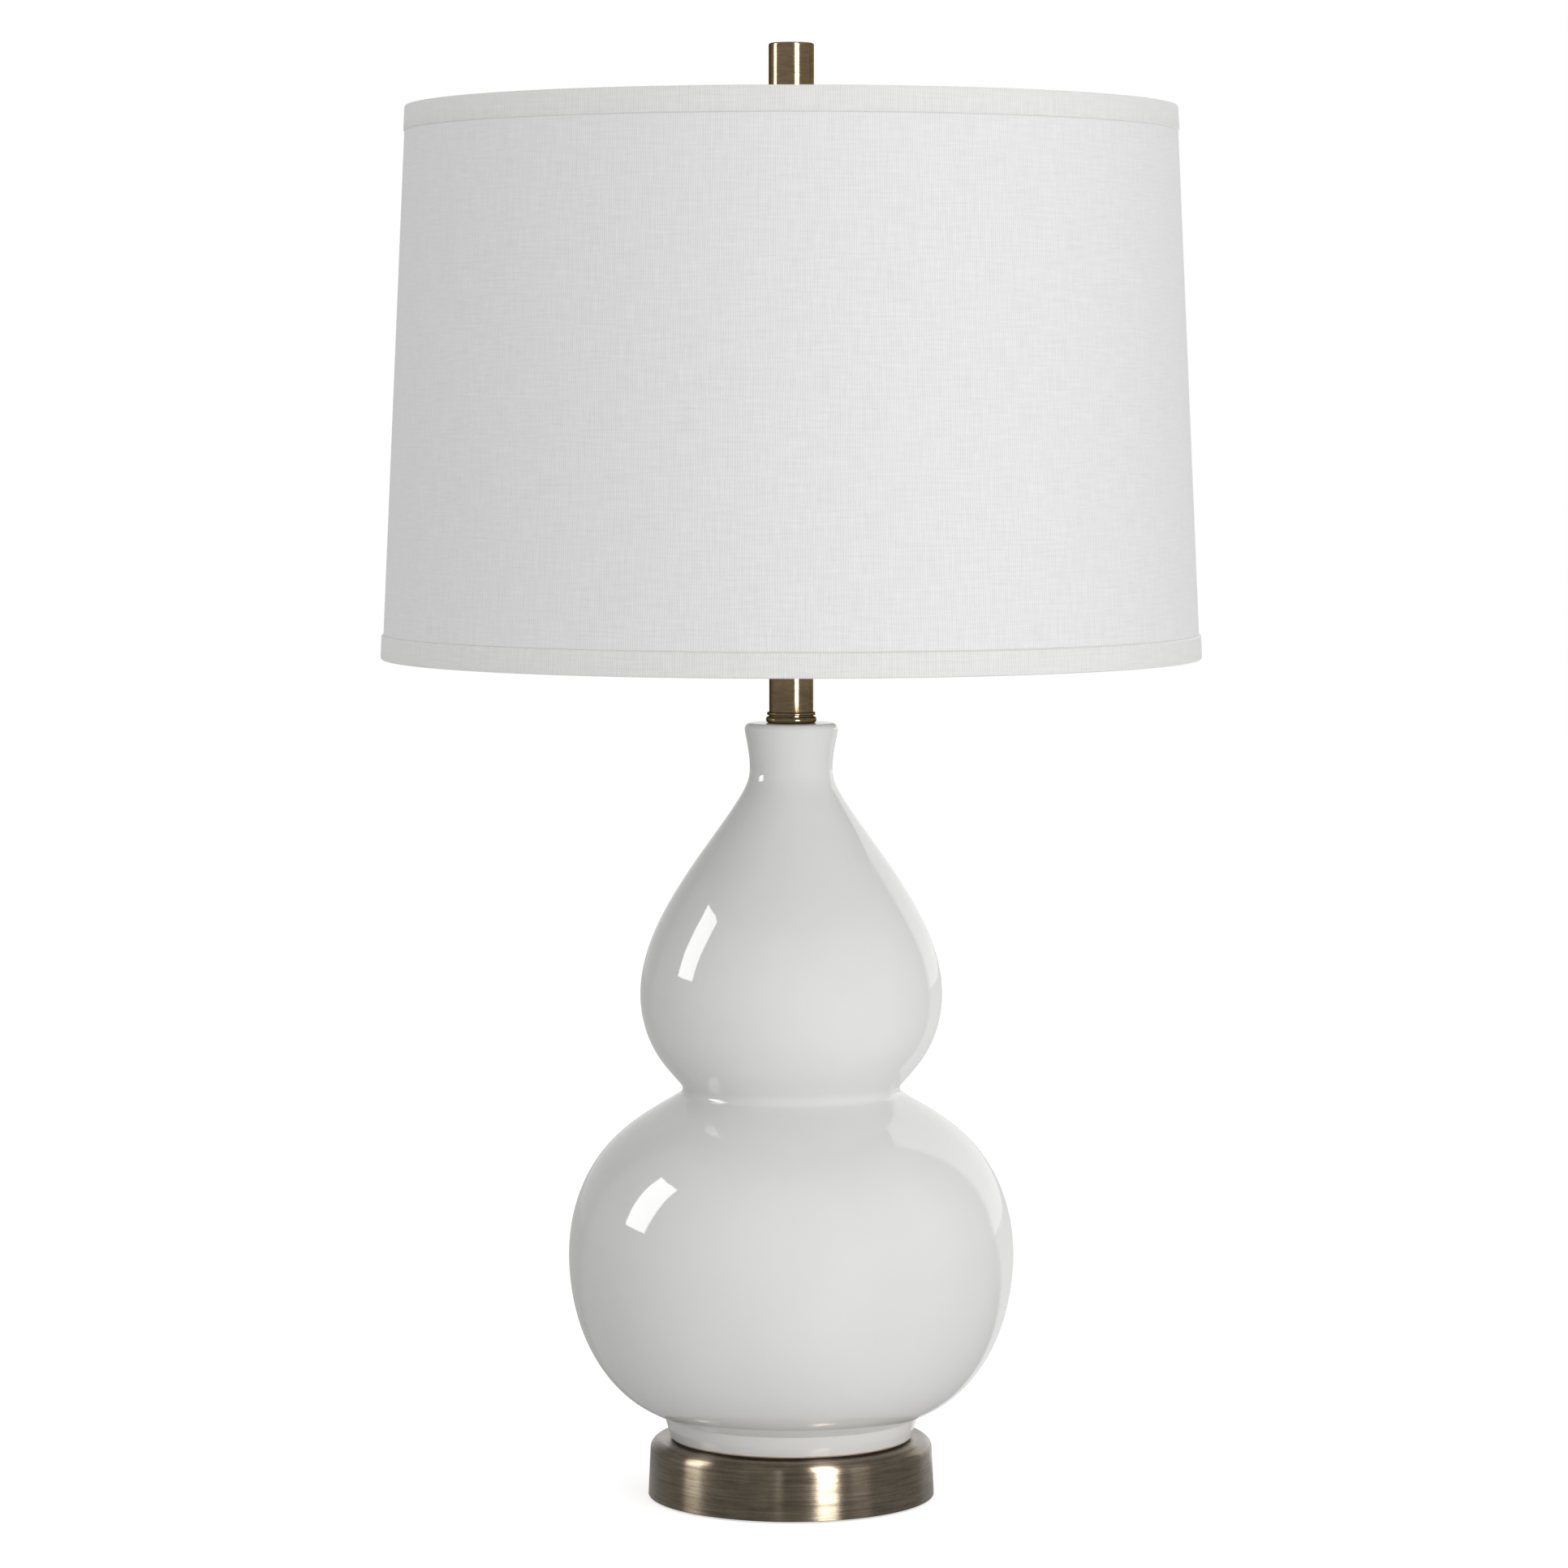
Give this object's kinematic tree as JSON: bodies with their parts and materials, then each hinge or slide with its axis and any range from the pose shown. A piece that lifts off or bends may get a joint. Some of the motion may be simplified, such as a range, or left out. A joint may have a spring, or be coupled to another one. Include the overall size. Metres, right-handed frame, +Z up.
{
  "type": "table lamp",
  "caption": "Table lamp with a white double-gourd ceramic body on a round brass base, with a harp, a cylinder finial and a tapered drum shade.",
  "frame": {"origin": "on the table under the lamp's axis, the middle of the underside", "axes": "+Z up along the lamp's axis, -Y the front, +X to the right seen from the front"},
  "size_m": [0.4083, 0.4082, 0.726],
  "materials": {
    "felt": "black felt",
    "fibreboard": "dense fibreboard",
    "brushed_brass": "antique brass, brushed round",
    "cast_iron": "rough casting",
    "black_plastic": "moulded",
    "zinc_steel": "zinc plated",
    "black_rubber": "soft",
    "white_glaze": "white glaze, glossy",
    "polished_brass": "antique brass, polished",
    "harp_brass": "brass plated",
    "socket_brass": "bright brass",
    "fibre": "insulating paper",
    "aluminium": "bright",
    "frosted_glass": "frosted white",
    "black_glass": "glossy",
    "solder": "dull",
    "shade_cloth": "off-white linen weave",
    "styrene": "white sheet",
    "white_paint": "white coating",
    "trim_cloth": "off-white linen weave"
  },
  "bodies": {
    "lamp_base": {"base_pad": "felt", "base_cover": "fibreboard", "base_drum": "brushed_brass", "base_weight": "cast_iron", "cord_bushing": "black_plastic", "lower_washer": "zinc_steel", "lower_lock_washer": "zinc_steel", "lower_nut": "zinc_steel", "lamp_pipe": "zinc_steel", "foot_gasket": "black_rubber", "foot_grommet": "black_rubber", "ceramic_body": "white_glaze", "neck_grommet": "black_rubber", "neck_collar": "polished_brass", "neck_tube": "polished_brass", "neck_cap": "polished_brass", "neck_locknut": "zinc_steel", "harp_saddle": "harp_brass", "harp_wire": "harp_brass", "socket_cap": "socket_brass", "socket_set_screw": "zinc_steel", "socket_cap_liner": "fibre", "socket_shell": "socket_brass", "socket_shell_liner": "fibre", "socket_block": "black_plastic", "terminal_screws": "socket_brass", "socket_screw_shell": "aluminium", "socket_contact": "socket_brass"},
    "switch": {"switch_spindle": "socket_brass", "switch_knob": "black_plastic"},
    "bulb": {"bulb_globe": "frosted_glass", "bulb_base": "aluminium", "bulb_insulator": "black_glass", "bulb_contact": "solder"},
    "sleeve_left": {"harp_sleeve_left": "harp_brass"},
    "sleeve_right": {"harp_sleeve_right": "harp_brass"},
    "stud": {"harp_stud": "harp_brass"},
    "shade": {"shade_fabric": "shade_cloth", "shade_liner": "styrene", "shade_top_ring": "white_paint", "shade_bottom_ring": "white_paint", "shade_top_trim": "trim_cloth", "shade_bottom_trim": "trim_cloth", "spider_washer": "harp_brass", "spider_arms": "white_paint"},
    "finial": {"finial_body": "polished_brass", "finial_insert": "zinc_steel"}
  },
  "joints": [
    {"name": "switch_turn", "type": "hinge", "parent": "lamp_base", "child": "switch", "pos_m": [0, -0.02, 0.453], "axis": [0, -1, 0], "continuous": true},
    {"name": "bulb_turn", "type": "hinge", "parent": "lamp_base", "child": "bulb", "pos_m": [0, 0, 0.48], "axis": [0, 0, 1], "continuous": true},
    {"name": "sleeve_left_slide", "type": "slide", "parent": "lamp_base", "child": "sleeve_left", "axis": [0, 0, 1], "range_m": [0, 0.014]},
    {"name": "sleeve_right_slide", "type": "slide", "parent": "lamp_base", "child": "sleeve_right", "axis": [0, 0, 1], "range_m": [0, 0.014]},
    {"name": "shade_swivel", "type": "hinge", "parent": "lamp_base", "child": "stud", "pos_m": [0, 0, 0.679], "axis": [0, 0, 1], "continuous": true},
    {"name": "shade_lift", "type": "slide", "parent": "stud", "child": "shade", "axis": [0, 0, 1], "range_m": [0, 0.3]},
    {"name": "finial_turn", "type": "hinge", "parent": "shade", "child": "finial", "pos_m": [0, 0, 0.7], "axis": [0, 0, 1], "continuous": true}
  ]
}
